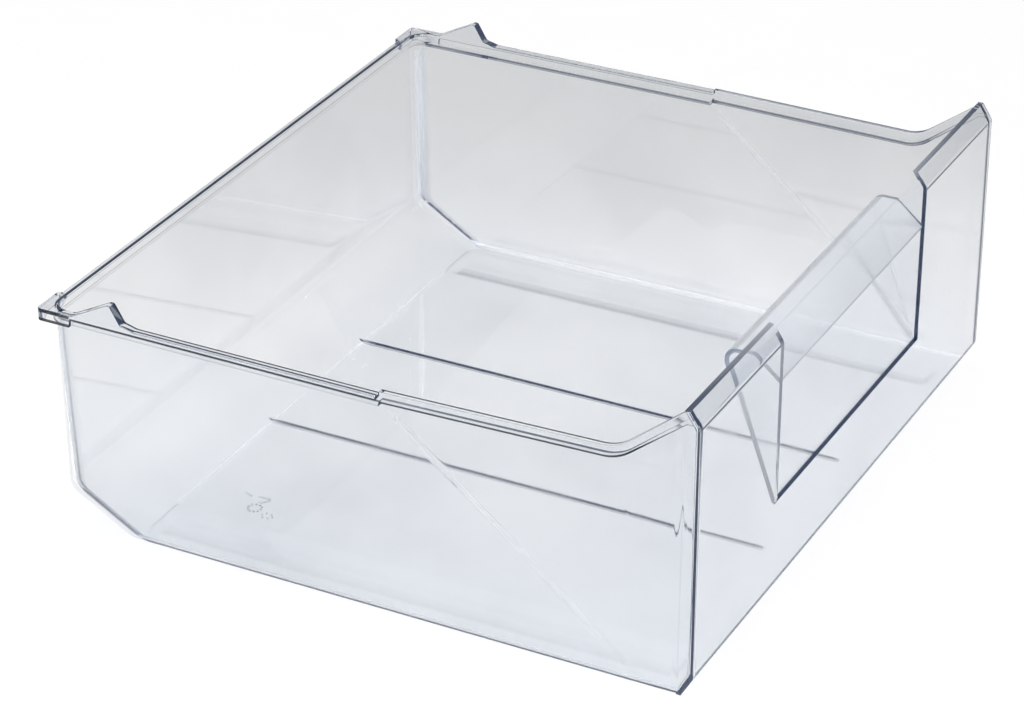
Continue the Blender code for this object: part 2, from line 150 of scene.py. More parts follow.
def heightAt(path, place):
    return float(np.interp(place, [p.x for p in path], [p.y for p in path]))


def placeAt(path, height):
    return float(np.interp(height, [p.y for p in path], [p.x for p in path]))


def quarterTurn(steps):
    return [math.pi / 2 * k / steps for k in range(steps + 1)]


def easeIn(share):
    share = max(0.0, min(1.0, share))
    return share * share * (3 - 2 * share)


def hump(share):
    # 1 at 0, down to 0 at -1 and 1
    return 0.5 + 0.5 * math.cos(math.pi * share)


def loft(bm, rings):
    # skins a row of equal rings of (x, y, z) and caps both ends
    rows = [[bm.verts.new(p) for p in ring] for ring in rings]
    count = len(rows[0])
    for low, high in zip(rows, rows[1:]):
        for k in range(count):
            bm.faces.new((low[k], low[(k + 1) % count], high[(k + 1) % count], high[k]))
    bm.faces.new(rows[0][::-1])
    bm.faces.new(rows[-1])


def solidFrom(bm, name):
    bmesh.ops.remove_doubles(bm, verts=bm.verts, dist=weld)
    bmesh.ops.recalc_face_normals(bm, faces=bm.faces)
    bmesh.ops.scale(bm, vec=(mm, mm, mm), verts=bm.verts)
    mesh = bpy.data.meshes.new(name)
    bm.to_mesh(mesh)
    bm.free()
    solid = bpy.data.objects.new(name, mesh)
    bpy.context.collection.objects.link(solid)
    return solid


def prism(outline, low, high, name):
    # an outline of (y, z) drawn out along x
    bm = bmesh.new()
    loft(bm, [[(x, p[0], p[1]) for p in outline] for x in (low, high)])
    return solidFrom(bm, name)


def merge(base, tools):
    # runs the Booleans in turn, then drops the tools
    for tool, how in tools:
        step = base.modifiers.new(tool.name, "BOOLEAN")
        step.solver, step.operation, step.object = "EXACT", how, tool
    graph = bpy.context.evaluated_depsgraph_get()
    mesh = bpy.data.meshes.new_from_object(base.evaluated_get(graph), depsgraph=graph)
    base.modifiers.clear()
    base.data = mesh
    for tool, how in tools:
        bpy.data.objects.remove(tool, do_unlink=True)


# Tub: walls, rear slope and floor, in millimetres
tub = {
    "depth": 384.0, "floorHalf": 202.0, "wall": 2.5, "sideDraft": 0.026, "rearTaper": 1.5, "cheekHalf": 200.8,
    "creaseFoot": 22.0, "creaseRim": 176.0, "creaseWidth": 4.0, "creaseRoom": 1.0,
    "creaseShares": (-1.0, -0.66, -0.33, 0.0, 0.7, 1.0),
    "ridge": 0.15, "ridgeLow": 4.0, "ridgeFade": 10.0, "ridgeEnd": 8.0,
    "rearDraft": 0.03, "slopeHigh": 25.0, "slopeRun": 41.8, "flatRun": 96.0, "foldRadius": 10.0,
    "foldTop": 140.0,
    "cornerRadius": 10.0, "floorRadius": 5.0, "under": 1.0, "arcSteps": 8, "cornerSteps": 12,
    "levels": (60.0, 95.0), "belowBand": (8.0, 4.0), "ahead": 20.0,
    "columnFrom": 12.0, "columnGap": 5.5, "columnCount": 7, "leastGap": 0.3,
}
front = -tub["depth"] / 2
floorTop = tub["under"] + tub["wall"]
creaseRim = front + tub["creaseRim"]

# Rim: band, ledge, lip, rear skirt and stop fins
rim = {
    "top": 138.2, "bandDrop": 7.9, "footBelow": 0.5, "footInset": 0.015, "bandStep": 3.4, "bandAtPanel": 0.7,
    "bandEdge": 2.4, "bandShare": 0.7, "bandArc": 7, "tightArc": 2, "fadeEnd": 46.0,
    "ledgeDrop": 5.4, "ledgeStep": 2.6, "ledgeBevel": 0.2, "lipThick": 2.5, "lipWide": 2.4, "lipFrom": 0.8,
    "lipCorner": 3.0, "edgeRound": 0.6, "edgeSteps": 6,
    "lineWide": 0.8, "lineEnds": ((1.0, 0.45), (1.5, 0.7)),
    "lipLines": (1.6, 1.3, 1.0, 0.8), "skirtLines": (5.4, 5.1, 2.1, 1.8),
    "step": 2.0, "stepLong": 1.5, "rise": 0.6, "levelFrom": 0.01,
    "sweepSlope": 0.78, "sweepRadius": 24.0, "sweepTopDrop": 0.5, "sweepEnd": 8.0, "sweepSteps": 12,
    "rearReach": 8.2, "rearInset": 2.7, "rearShare": 0.12, "tabEnd": 189.0, "tabStep": 1.2,
    "skirtDrop": 7.0, "skirtThick": 2.0, "skirtReturn": 20.5, "skirtStep": 0.6, "skirtLeast": 0.2,
    "skirtCorner": 4.0, "skirtSlack": 0.3,
    "finHigh": 12.0, "finPeakBack": 45.0, "finCrest": 2.0, "finFace": 6.0, "finFootHigh": 2.0, "finFoot": 8.0,
    "finRamp": 23.0, "finLead": 12.0, "finTail": 9.0, "finRounds": (4.0, 3.0, 0.9, 0.8, 6.0), "finSteps": 4,
}
bandLevel = rim["top"] - rim["bandDrop"]
rearWall = tub["depth"] / 2 - rim["rearReach"]
slopeFoot = rearWall - tub["slopeRun"]
skirtFrom = tub["depth"] / 2 - rim["skirtReturn"]

# Front panel: an upright plate with leaning top and bottom strips
panel = {
    "half": 202.5, "footHalf": 202.2, "top": 169.3, "foot": 2.7, "thick": 2.6,
    "topStrip": (8.9, 5.8), "lowStrip": (11.9, 6.8), "edgeRound": 0.55, "edgeSteps": 6,
    "foldRound": 3.4, "foldSteps": 5, "trimAhead": 40.0, "trimHalf": 300.0, "trimLonger": 2.0,
}


def mainSide(z):
    return tub["floorHalf"] + tub["sideDraft"] * z


def creaseAt(z):
    return front + tub["creaseFoot"] + (tub["creaseRim"] - tub["creaseFoot"]) * z / bandLevel


def sideAt(y, z, inset):
    # half-width of the side wall; flat cheeks ahead of the crease lean in
    drop = (mainSide(bandLevel) - tub["cheekHalf"]) / tub["creaseRim"] * (1.0 + z / bandLevel) / 2
    return mainSide(z) - inset - max(0.0, creaseAt(z) - y) * drop


def taperAt(place):
    return tub["rearTaper"] * max(0.0, (place - creaseRim) / (rearWall - creaseRim))


def rearPath(inset):
    foot, top = tub["under"], panel["top"]
    corners = [(slopeFoot - tub["flatRun"], foot), (slopeFoot, foot), (rearWall, foot + tub["slopeHigh"]),
               (rearWall + tub["rearDraft"] * top, top)]
    radius = tub["foldRadius"] - inset
    return arcPath(movedPath(corners, inset), (radius, radius), tub["arcSteps"])


def rearAt(z, inset):
    return placeAt(rearPath(inset)[1:], z)


def sweepPath():
    level = rim["top"] + rim["step"] + rim["rise"]
    top = panel["top"] - rim["sweepTopDrop"]
    start = front + rim["sweepEnd"]
    corners = [(front - tub["ahead"], top), (start, top), (start + (top - level) / rim["sweepSlope"], level),
               (creaseRim, rim["top"] + rim["step"])]
    return arcPath(corners, (0.0, rim["sweepRadius"]), rim["sweepSteps"])


def finPath():
    peak = tub["depth"] / 2 - rim["finPeakBack"]
    face = peak - rim["finCrest"]
    foot = face - rim["finFace"]
    start, end = foot - rim["finFoot"], peak + rim["finRamp"]
    corners = [(start - rim["finLead"], 0.0), (start, 0.0), (foot, rim["finFootHigh"]),
               (face, rim["finHigh"]), (peak, rim["finHigh"]), (end, 0.0), (end + rim["finTail"], 0.0)]
    return arcPath(corners, rim["finRounds"], rim["finSteps"])


def baseTop(y):
    return rim["top"] if y > creaseRim + rim["levelFrom"] else heightAt(sweepPath(), y)


def finRise(y):
    return heightAt(finPath(), y)


def bandAt(y):
    share = (y - front - rim["sweepEnd"]) / (rim["fadeEnd"] - rim["sweepEnd"])
    return rim["bandAtPanel"] + (rim["bandStep"] - rim["bandAtPanel"]) * easeIn(share)


def bandRound(step):
    return min(rim["bandEdge"], step * rim["bandShare"])


def wallColumns():
    # (kind, place, offset) of each column, from the panel to the middle of the rear
    wide = tub["creaseWidth"]
    places = [p.x for p in sweepPath()]
    places += [front + tub["columnFrom"] + tub["columnGap"] * k for k in range(tub["columnCount"])]
    places += [p.x for p in finPath()] + [skirtFrom - rim["skirtStep"], skirtFrom]
    places = [p for p in sorted(places) if abs(p - creaseRim) > wide + tub["creaseRoom"]]
    columns = [("side", places[0], 0.0)]
    for place in places[1:]:
        if place - columns[-1][1] > tub["leastGap"]:
            columns.append(("side", place, 0.0))
    offsets = [wide * share for share in tub["creaseShares"]] + [rim["stepLong"]]
    columns += [("side", creaseRim, offset) for offset in offsets]
    columns.sort(key=lambda column: column[1] + column[2])
    columns.append(("last", rearWall - tub["cornerRadius"], 0.0))
    columns += [("corner", angle, 0.0) for angle in quarterTurn(tub["cornerSteps"])[1:]]
    columns += [("rear", x, 0.0) for x in (rim["tabEnd"], rim["tabEnd"] - rim["tabStep"], 0.0)]
    return columns


def ringSpot(column, half, rear, radius, sideSpot):
    kind, place, offset = column
    if kind == "side":
        return sideSpot(place, offset)
    if kind == "last":
        return half, rear - radius
    if kind == "corner":
        return half - radius + radius * math.cos(place), rear - radius + radius * math.sin(place)
    return place, rear


def wallSpot(column, z, inset, radius):
    crease, wide = creaseAt(z), tub["creaseWidth"]
    start, last = front - tub["ahead"], rearWall - tub["cornerRadius"]
    end = rearAt(z, inset) - radius

    def sideSpot(place, offset):
        if place == creaseRim:
            y = crease + offset
        elif place < creaseRim:
            y = start + (crease - wide - start) * (place - start) / (creaseRim - wide - start)
        else:
            share = (place - creaseRim - wide) / (last - creaseRim - wide)
            y = crease + wide + (end - crease - wide) * share
        x = sideAt(y, z, inset) - taperAt(place)
        if inset == 0.0 and place == creaseRim:
            low, high = (z - tub["ridgeLow"]) / tub["ridgeFade"], (bandLevel - z) / tub["ridgeEnd"]
            x += tub["ridge"] * easeIn(low) * easeIn(high) * hump(offset / wide)
        return x, y

    half = mainSide(z) - tub["rearTaper"] - inset
    x, y = ringSpot(column, half, rearAt(z, inset), radius, sideSpot)
    return Vector((x, y, z))


def rimSpot(column, out, drop, radius, rearOut, rises=False):
    # out from the side's outer face, rearOut from the rear's
    kind, place, offset = column
    onSide = kind == "side"
    y = place + offset if onSide else 0.0
    top = baseTop(y) if onSide else rim["top"]
    lift = finRise(y) if onSide and rises else 0.0
    base = min(top - rim["bandDrop"], panel["top"])
    rear = rearAt(bandLevel, 0.0) + rearOut

    def sideSpot(place, offset):
        return sideAt(place + offset, base, 0.0) - taperAt(place) + out, place + offset

    x, y = ringSpot(column, mainSide(bandLevel) - tub["rearTaper"] + out, rear, radius, sideSpot)
    return Vector((x, y, top - drop + lift))


def pulledIn(column, spot, inset):
    share = {"side": 1.0, "last": 1.0, "rear": 0.0}.get(column[0], math.cos(column[1]))
    return spot - Vector((inset * share, 0.0, 0.0))


def lineEnds(wide):
    # where the dark line on a rim's top of this width ends, and where it has faded
    flat = wide - 2 * rim["edgeRound"]
    return [rim["edgeRound"] + min(rim["lineWide"] * k, flat * share) for k, share in rim["lineEnds"]]


def isSkirted(column):
    kind, place, offset = column
    if kind == "side":
        return place + offset > skirtFrom - rim["skirtSlack"]
    return kind != "rear" or place > rim["tabEnd"] - rim["skirtSlack"]


def outsideSpots(column):
    # the outer face, from the floor up to the band
    radius, foot = tub["cornerRadius"], tub["floorRadius"]
    spots = []
    for angle in quarterTurn(tub["arcSteps"]):
        z = tub["under"] + foot * (1 - math.cos(angle))
        spots.append(pulledIn(column, wallSpot(column, z, 0.0, radius), foot * (1 - math.sin(angle))))
    levels = [p.y for p in rearPath(0.0) if tub["under"] + foot < p.y < tub["foldTop"]]
    levels += [*tub["levels"]] + [bandLevel - down for down in tub["belowBand"]]
    return spots + [wallSpot(column, z, 0.0, radius) for z in levels]


def bandSpots(column, step):
    # the band's foot and its rounded lower edge
    tight, edge, inset = tub["cornerRadius"], bandRound(step), rim["footInset"]
    spots = [rimSpot(column, -inset, rim["bandDrop"] + rim["footBelow"], tight, -inset),
             rimSpot(column, 0.0, rim["bandDrop"], tight, 0.0)]
    for k, angle in enumerate(quarterTurn(rim["bandArc"])):
        out, up = step - edge * (1 - math.sin(angle)), edge * (1 - math.cos(angle))
        radius = tight + step if k > rim["tightArc"] else tight
        spots.append(rimSpot(column, out, rim["bandDrop"] - up, radius, out * rim["rearShare"]))
    return spots


def lipSpots(column, step, lip, rearLip):
    # under the lip, down inside its skirt and up its outer face
    skirted, rearStep = isSkirted(column), step * rim["rearShare"]
    skirt = rim["skirtDrop"] if skirted else rim["lipThick"]
    inSkirt = max(lip - rim["skirtThick"], rim["skirtLeast"]) if skirted else 0.0
    back = rearLip - rim["skirtThick"] if skirted else rearStep
    lines = rim["skirtLines" if skirted else "lipLines"]
    spots = [rimSpot(column, step, rim["lipThick"], tub["cornerRadius"] + step, rearStep)]
    spots += [rimSpot(column, step + inSkirt, down, rim["skirtCorner"], back)
              for down in (rim["lipThick"], skirt)]
    return spots + [rimSpot(column, step + lip, down, rim["lipCorner"], rearLip) for down in (skirt, *lines)]


def topSpots(column, step, lip, rearLip):
    # the outer rounded edge, both ends of the dark line, the inner rounded edge and the ledge
    wall, share, tight = tub["wall"], rim["rearShare"], tub["cornerRadius"]
    arc = [(rim["edgeRound"] * (1 - math.cos(angle)), rim["edgeRound"] * (1 - math.sin(angle)))
           for angle in quarterTurn(rim["edgeSteps"])]
    spots = [rimSpot(column, step + lip - out, down, rim["lipCorner"], rearLip - out, rises=True)
             for out, down in arc]
    ledge = rim["ledgeStep"] * step / rim["bandStep"]
    inner, rearInner = ledge - wall, ledge * share - wall
    line = [(out, 0.0) for out in lineEnds(step + lip - inner)]
    spots += [rimSpot(column, inner + out, down, tight + inner, rearInner + out, rises=True)
              for out, down in line[::-1] + arc[::-1]]
    bevel = rim["ledgeBevel"] * step
    spots.append(rimSpot(column, inner, rim["ledgeDrop"], tight + inner, rearInner))
    spots.append(rimSpot(column, bevel - wall, rim["ledgeDrop"], tight - wall, bevel * share - wall))
    spots.append(rimSpot(column, -wall, rim["ledgeDrop"] + bevel, tight - wall, -wall))
    return spots


def insideSpots(column):
    # the inner face, coming down to the floor
    wall, radius = tub["wall"], tub["cornerRadius"] - tub["wall"]
    foot = tub["floorRadius"] - wall
    levels = [p.y for p in rearPath(wall) if floorTop + foot < p.y < tub["foldTop"]]
    levels += [*tub["levels"], bandLevel - tub["belowBand"][0]]
    spots = [wallSpot(column, z, wall, radius) for z in sorted(levels, reverse=True)]
    for angle in quarterTurn(tub["arcSteps"])[::-1]:
        z = floorTop + foot * (1 - math.cos(angle))
        spots.append(pulledIn(column, wallSpot(column, z, wall, radius), foot * (1 - math.sin(angle))))
    return spots


def columnSpots(column):
    # outside going up, over the rim, inside coming down
    kind, place, offset = column
    y = place + offset
    step = bandAt(y) if kind == "side" else rim["bandStep"]
    lip = rim["lipWide"] if kind != "side" or y > creaseRim + rim["lipFrom"] else 0.0
    rearLip = tub["depth"] / 2 - rearAt(bandLevel, 0.0) - (0.0 if isSkirted(column) else rim["rearInset"])
    return (outsideSpots(column) + bandSpots(column, step) + lipSpots(column, step, lip, rearLip)
            + topSpots(column, step, lip, rearLip) + insideSpots(column))


def buildTub():
    right = [columnSpots(column) for column in wallColumns()]
    left = [[Vector((-p.x, p.y, p.z)) for p in spots] for spots in right[:-1]]
    bm = bmesh.new()
    grid = [[bm.verts.new(p) for p in spots] for spots in right + left[::-1]]
    for here, there in zip(grid, grid[1:]):
        for k in range(len(here) - 1):
            bm.faces.new((here[k], here[k + 1], there[k + 1], there[k]))
    bm.faces.new([spots[0] for spots in grid])
    bm.faces.new([spots[-1] for spots in grid][::-1])
    bm.faces.new(grid[0][::-1] + grid[-1])
    return solidFrom(bm, "drawerShell")


def panelFace():
    high, lean = panel["topStrip"]
    low, back = panel["lowStrip"]
    return [(front + back, panel["foot"]), (front, panel["foot"] + low), (front, panel["top"] - high),
            (front + lean, panel["top"])]


def panelHalf(z):
    fold = panel["top"] - panel["topStrip"][0]
    return panel["half"] - (panel["half"] - panel["footHalf"]) * max(0.0, fold - z) / (fold - panel["foot"])


def cutLevel(end, neighbour, level):
    # runs the line through two (y, z) points on to a height
    return end + (neighbour - end) * ((level - end.y) / (neighbour.y - end.y))


def panelOutline(shrink):
    face, bend, steps = panelFace(), panel["foldRound"], panel["foldSteps"]
    outer = arcPath(movedPath(face, -shrink), (bend + panel["thick"],) * 2, steps)
    inner = arcPath(movedPath(face, shrink - panel["thick"]), (bend, bend), steps)
    for path in (outer, inner):
        path[0] = cutLevel(path[0], path[1], panel["foot"] + shrink)
        path[-1] = cutLevel(path[-1], path[-2], panel["top"] - shrink)
    return outer + inner[::-1]


def buildPanel():
    # the end edges are rounded by rings that shrink towards each end
    rings = []
    for angle in quarterTurn(panel["edgeSteps"]):
        back, shrink = (panel["edgeRound"] * (1 - f(angle)) for f in (math.sin, math.cos))
        rings.append([(panelHalf(p.y) - back, p.x, p.y) for p in panelOutline(shrink)])
    bm = bmesh.new()
    loft(bm, [[(-x, y, z) for x, y, z in ring] for ring in rings[::-1]] + rings)
    return solidFrom(bm, "panelPlate")


def buildTrim():
    # everything ahead of the middle of the panel
    middle = movedPath(panelFace(), -panel["thick"] / 2)
    low = middle[0] + (middle[0] - middle[1]) * panel["trimLonger"]
    high = middle[-1] + (middle[-1] - middle[-2]) * panel["trimLonger"]
    edge = front - panel["trimAhead"]
    outline = [(edge, low.y), low] + middle + [high, (edge, high.y)]
    return prism(outline, -panel["trimHalf"], panel["trimHalf"], "trim")


# Fillets behind the panel
fillets = {
    "steps": 7, "floorRound": 2.5, "floorSink": 0.5, "floorInset": 5.5,
    "sideRound": 1.5, "sideSink": 0.45, "thinFrom": 147.0, "thin": 0.35,
    "below": 0.4, "lowLevel": 9.0, "levels": (60.0, 110.0, 146.0, 158.0),
}


def fillCorner(corner, first, second, radius, sink):
    # concave filler in a corner: first and second are the ways along the two walls
    corner, first, second = Vector(corner), Vector(first).normalized(), Vector(second).normalized()
    start, end = corner + first * radius, corner + second * radius
    curve = []
    for k in range(fillets["steps"] + 1):
        share = k / fillets["steps"]
        curve.append(start * (1 - share) ** 2 + corner * 2 * share * (1 - share) + end * share ** 2)
    back = corner - (first + second) * sink
    return [start - second * sink] + curve + [end - first * sink, back]


def buildFloorFillet():
    face = movedPath(panelFace(), -panel["thick"])
    corner = cutLevel(face[0], face[1], floorTop)
    outline = fillCorner(corner, (1.0, 0.0), face[1] - face[0], fillets["floorRound"], fillets["floorSink"])
    reach = mainSide(floorTop) - fillets["floorInset"]
    return prism(outline, -reach, reach, "footFillet")


def buildSideFillet(hand):
    face = movedPath(panelFace(), -panel["thick"])
    fold = panel["foot"] + panel["lowStrip"][0]
    rings = []
    for z in (floorTop - fillets["below"], fillets["lowLevel"], fold, *fillets["levels"]):
        y = placeAt(face, z)
        radius = fillets["sideRound"] * (1.0 if z < fillets["thinFrom"] else fillets["thin"])
        corner = (sideAt(y, z, tub["wall"]), y)
        ring = fillCorner(corner, (-1.0, 0.0), (0.0, 1.0), radius, fillets["sideSink"])
        rings.append([(hand * p.x, p.y, z) for p in ring])
    bm = bmesh.new()
    loft(bm, rings)
    return solidFrom(bm, "cornerFillet")


# Low upright beads on the side walls' inner faces, behind the panel
bead = {
    "at": 11.0, "half": 3.0, "high": 0.45, "steps": 6, "root": 0.02, "behind": 0.6,
    "rows": ((6.5, 0.1), (11.5, 1.0), (60.0, 1.0), (110.0, 1.0), (142.0, 1.0), (149.0, 0.1)),
}


def buildBead(hand):
    rings = []
    for z, share in bead["rows"]:
        ring = []
        for k in range(2 * bead["steps"] + 1):
            across = k / bead["steps"] - 1
            y = front + bead["at"] + bead["half"] * across
            rise = bead["high"] * share * hump(across)
            ring.append((sideAt(y, z, tub["wall"]) - rise + bead["root"], y))
        ring += [(ring[-1][0] + bead["behind"], ring[-1][1]), (ring[0][0] + bead["behind"], ring[0][1])]
        rings.append([(hand * x, y, z) for x, y in ring])
    bm = bmesh.new()
    loft(bm, rings)
    return solidFrom(bm, "wallBead")


# Handle: window, pocket sheet with its grip, end webs
handle = {
    "half": 99.5, "sill": 65.8, "sheet": 2.5, "deep": 33.5, "top": 149.3, "bend": 6.0, "bendSteps": 8,
    "creaseDeep": 16.5, "edgeDeep": 2.2, "edgeHigh": 136.9, "noseTurn": 15,
    "web": 2.4, "webSink": 0.5, "shoulder": 4.0,
    "root": 0.3, "footDrop": 1.0, "sillDeep": 2.4, "cutAround": 20.0, "cutDeep": 54.0,
}


def pocketPath():
    half, rise = handle["sheet"] / 2, handle["top"] - handle["sill"]
    lean = half * math.hypot(rise, handle["deep"] - handle["sillDeep"]) / rise
    corners = [(handle["sillDeep"] + lean, handle["sill"]), (handle["deep"], handle["top"]),
               (handle["creaseDeep"], handle["top"]), (handle["edgeDeep"], handle["edgeHigh"])]
    corners = [(front + deep, high) for deep, high in corners]
    return arcPath(corners, (handle["bend"], handle["bend"] / 2), handle["bendSteps"])


def buildPocket():
    centre = pocketPath()
    half = handle["sheet"] / 2
    behind, hollow = movedPath(centre, -half), movedPath(centre, half)
    hollow[0] = cutLevel(hollow[0], hollow[1], handle["sill"] - handle["root"])
    behind[0] = behind[0] - (behind[1] - behind[0]).normalized() * handle["footDrop"]
    # the grip's edge is rounded
    arm, turn = behind[-1] - centre[-1], handle["noseTurn"]
    nose = [centre[-1] + Matrix.Rotation(math.radians(angle), 2) @ arm for angle in range(turn, 180, turn)]
    outline = [Vector((hollow[0].x, behind[0].y))] + behind + nose + hollow[::-1]
    reach = handle["half"] + handle["web"] / 2
    return prism(outline, -reach, reach, "pocketSheet")


def buildWebs():
    behind = movedPath(pocketPath(), -(handle["sheet"] / 2 - handle["webSink"]))
    roof = [p for p in behind if p.x > front + handle["creaseDeep"]]
    middle, top = front + panel["thick"] / 2, panel["top"] - handle["shoulder"]
    high, lean = panel["topStrip"]
    foot = [(middle, handle["sill"] - handle["web"]),
            (behind[0].x - handle["root"], handle["sill"] - handle["root"])]
    shoulder = [(middle + lean * (high - handle["shoulder"]) / high, top), (middle, panel["top"] - high)]
    bm = bmesh.new()
    for hand in (-1, 1):
        near, far = hand * (handle["half"] - handle["web"]), hand * (handle["half"] + handle["web"])
        loft(bm, [[(x, p[0], p[1]) for p in foot + roof + shoulder] for x in (near, far)])
    return solidFrom(bm, "pocketWebs")


def buildWindow():
    ahead, behind = front - handle["cutAround"], front + handle["cutDeep"]
    low, high = handle["sill"], panel["top"] + handle["cutAround"]
    outline = [(ahead, low), (behind, low), (behind, high), (ahead, high)]
    return prism(outline, -handle["half"], handle["half"], "windowCut")


# Floor: two soft pressed strips, each a raised runner below and a channel above
strips = {
    "inner": 163.8, "outer": 181.5, "frontGap": 13.5, "rearGap": 0.1, "endLong": 8.0, "endSteps": 5,
    "least": 0.02, "fallSteps": 8,
    "runner": {"drop": 1.0, "lift": 1.2, "spread": 1.0, "soft": 13.0},
    "channel": {"drop": 0.4, "lift": 2.0, "spread": 0.0, "soft": 10.0},
}


def floorEnd():
    # where the floor's top meets the rear slope
    return slopeFoot - tub["wall"] * math.tan(math.atan(tub["slopeHigh"] / tub["slopeRun"]) / 2)


def stripProfile(level, kind, share):
    # cross-section (x, z) of one strip: gentle S-shaped sides down to its depth
    soft, steps, lift = kind["soft"], strips["fallSteps"], kind["lift"]
    low, high = strips["inner"] - kind["spread"] - soft / 2, strips["outer"] + kind["spread"] + soft / 2
    falls = [(soft * k / steps, kind["drop"] * share * (easeIn(k / steps) + k / steps) / 2)
             for k in range(steps + 1)]
    side = [(low + run, level - fall) for run, fall in falls]
    other = [(high - run, level - fall) for run, fall in falls]
    return [(low, level + lift)] + side + other[::-1] + [(high, level + lift)]


def buildStrip(level, kind):
    start, end = front + strips["frontGap"], floorEnd() - strips["rearGap"]
    steps, least = strips["endSteps"], strips["least"]
    ends = [(strips["endLong"] * k / steps, max(least, easeIn(k / steps))) for k in range(steps + 1)]
    places = [(start + run, share) for run, share in ends]
    places += [(end - run, share) for run, share in ends[::-1]]
    bm = bmesh.new()
    for hand in (-1, 1):
        loft(bm, [[(hand * x, y, z) for x, z in stripProfile(level, kind, share)] for y, share in places])
    return solidFrom(bm, "floorStrip")


# Floor: two ribs
ribs = {
    "at": 53.0, "wide": 1.9, "high": 1.7, "foot": 1.5, "steps": 7, "frontGap": 27.3, "pastFloor": 3.4,
    "start": ((0.0, 0.25), (1.6, 0.7), (4.0, 1.0)), "footMore": 0.05, "shoulder": 0.6, "root": 0.4,
}


def ribProfile(share):
    wide, high, foot = ribs["wide"] / 2, ribs["high"] * share, ribs["foot"]
    footHigh = foot * min(1.0, share + ribs["footMore"])
    shoulder = max(high - wide, high * ribs["shoulder"])
    crown = min(wide, high * (1 - ribs["shoulder"]))
    turns = quarterTurn(ribs["steps"])
    half = [(wide + foot, -ribs["root"])]
    half += [(wide + foot * (1 - math.sin(angle)), footHigh * (1 - math.cos(angle))) for angle in turns]
    half += [(wide * math.cos(angle), shoulder + crown * math.sin(angle)) for angle in turns[1:]]
    return half + [(-x, z) for x, z in half[-2::-1]]


def buildRibs():
    start, end = front + ribs["frontGap"], floorEnd()
    rows = [(start + run, share) for run, share in ribs["start"]]
    rows += [(end, 1.0), (end + ribs["pastFloor"], 1.0)]
    bm = bmesh.new()
    for hand in (-1, 1):
        at = hand * ribs["at"]
        loft(bm, [[(at + x, y, floorTop + z) for x, z in ribProfile(share)] for y, share in rows])
    return solidFrom(bm, "floorRibs")


# Floor: three plain moulded shapes, placed by (along the depth, across)
marks = {
    "at": (-142.0, 101.0), "high": 0.45, "root": 0.4, "line": 0.8, "sides": 10,
    "bigRing": {"count": 10, "middle": (0.0, 0.0), "half": (3.9, 3.9), "dot": 0.75},
    "smallRing": {"count": 6, "middle": (-10.5, -4.5), "half": (3.2, 2.6), "dot": 0.55},
    "bars": (((8.0, 10.0), (12.5, 12.0)), ((-3.5, 11.5), (3.5, 11.5)),
             ((3.9, 10.6), (0.5, 5.8)), ((-0.5, 5.8), (-3.9, 10.6))),
}


def addMark(bm, outline):
    levels = (floorTop - marks["root"], floorTop + marks["high"])
    loft(bm, [[(marks["at"][0] + v, marks["at"][1] + u, z) for u, v in outline] for z in levels])


def addBar(bm, first, second):
    first, second = Vector(first), Vector(second)
    side = Vector((-(second - first).y, (second - first).x)).normalized() * marks["line"] / 2
    addMark(bm, [first - side, second - side, second + side, first + side])


def ovalSpots(middle, half, count):
    turns = [2 * math.pi * k / count for k in range(count)]
    return [(middle[0] + half[0] * math.cos(turn), middle[1] + half[1] * math.sin(turn)) for turn in turns]


def buildMarks():
    bm = bmesh.new()
    for ring in (marks["bigRing"], marks["smallRing"]):
        for spot in ovalSpots(ring["middle"], ring["half"], ring["count"]):
            addMark(bm, ovalSpots(spot, (ring["dot"], ring["dot"]), marks["sides"]))
    for first, second in marks["bars"]:
        addBar(bm, first, second)
    return solidFrom(bm, "floorMarks")


def buildDrawer():
    shell = buildTub()
    print("tub walls, rim and fins")
    tools = [(buildTrim(), "DIFFERENCE"), (buildPanel(), "UNION"), (buildWebs(), "UNION"),
             (buildWindow(), "DIFFERENCE"), (buildPocket(), "UNION"), (buildFloorFillet(), "UNION")]
    tools += [(build(hand), "UNION") for build in (buildSideFillet, buildBead) for hand in (-1, 1)]
    tools += [(buildStrip(tub["under"], strips["runner"]), "UNION"),
              (buildStrip(floorTop, strips["channel"]), "DIFFERENCE"),
              (buildRibs(), "UNION"), (buildMarks(), "UNION")]
    merge(shell, tools)
    print("panel, handle and floor joined")
    return shell


sharpFrom = 17


def smoothShell(shell):
    for polygon in shell.data.polygons:
        polygon.use_smooth = True
    shell.data.set_sharp_from_angle(angle=math.radians(sharpFrom))
    weigh = shell.modifiers.new("faceWeights", "WEIGHTED_NORMAL")
    weigh.keep_sharp = True
    weigh.mode = "FACE_AREA"


# Painted highlights: soft white lines on the creases, rear corners, the fillets beside the floor, the ribs'
# feet and the pocket
highlightLines = {
    "rib": 0.8, "ribReach": 2.4, "ribHeights": (0.05, 0.7),
    "pocket": 0.3, "pocketSide": 2.0, "pocketDepths": (3.2, 42.0), "pocketLow": 4.0,
    "sideFrom": 150.0, "frontGap": 8.0, "low": 4.0, "fade": 10.0,
    "creaseHalf": 1.6, "creaseLean": 0.65, "creaseLow": 0.2, "creaseHigh": 0.75,
    "cornerHalf": 2.2, "onSlope": 0.6,
    "filletHalf": 1.2, "filletIn": 3.6, "filletUp": 1.1,
}


def bell(distance, half):
    return math.exp(-(distance / half) ** 2)


